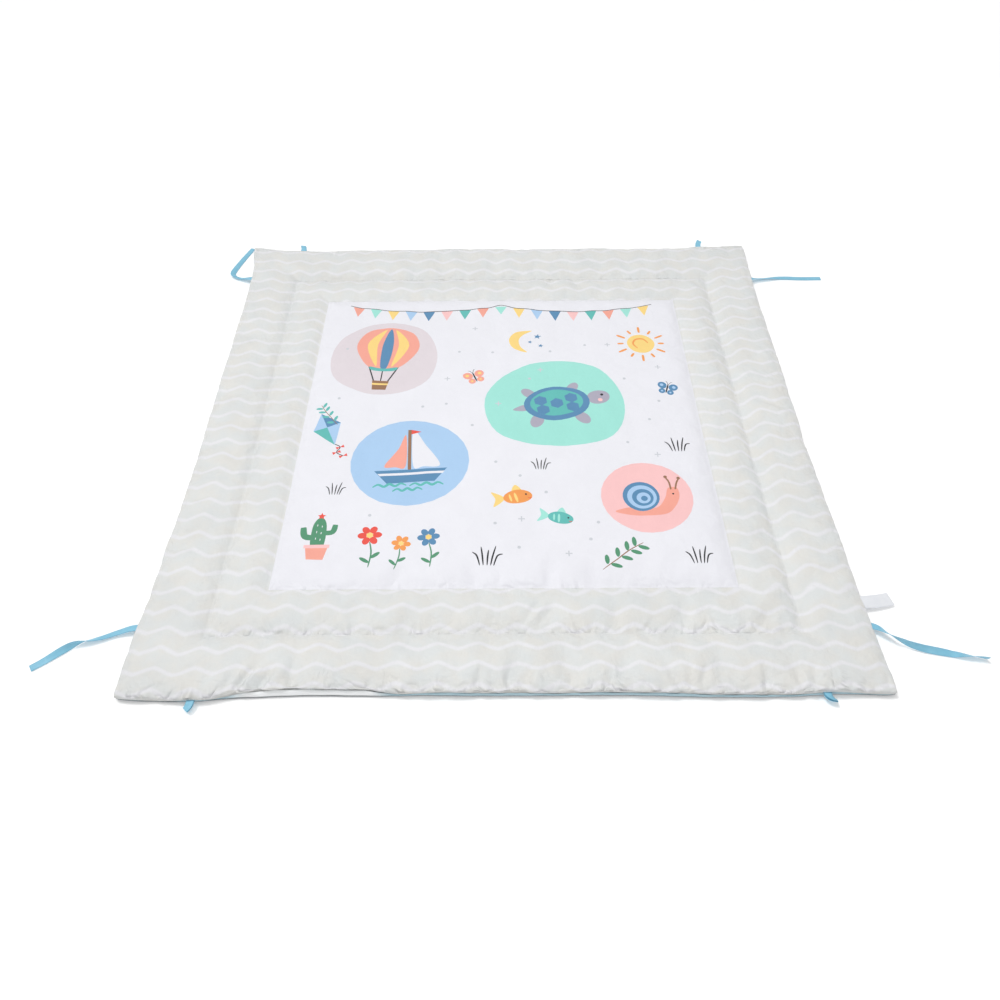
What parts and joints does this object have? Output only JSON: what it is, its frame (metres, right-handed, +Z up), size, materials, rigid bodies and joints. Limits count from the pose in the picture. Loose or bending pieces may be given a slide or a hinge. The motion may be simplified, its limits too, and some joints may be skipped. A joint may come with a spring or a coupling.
{
  "type": "padded baby play mat",
  "caption": "Square quilted floor mat with a printed panel, chevron border, blue back cloth, ribbon ties and loops at its corners and a blank side label.",
  "frame": {"origin": "middle of the mat's square, on the flat underside that lies on the floor", "axes": "+Z up through the padding, +X to the right-hand edge with the label, +Y to the back edge"},
  "size_m": [1.5184, 1.2427, 0.0274],
  "materials": {
    "printed_cotton": "matt woven cotton, white panel with small motifs in a grey-cream and white chevron border",
    "backing_cotton": "plain pale blue woven cotton",
    "ribbon": "sky blue satin ribbon",
    "label_satin": "blank white satin tape"
  },
  "bodies": {
    "root": {"padded_mat": "printed_cotton", "backing": "backing_cotton", "tie_front_left": "ribbon", "tie_front_right": "ribbon", "tie_back_right": "ribbon", "tie_back_left": "ribbon", "loop_front_left": "ribbon", "loop_front_right": "ribbon", "loop_back_right": "ribbon", "loop_back_left": "ribbon", "side_label": "label_satin"}
  },
  "joints": []
}
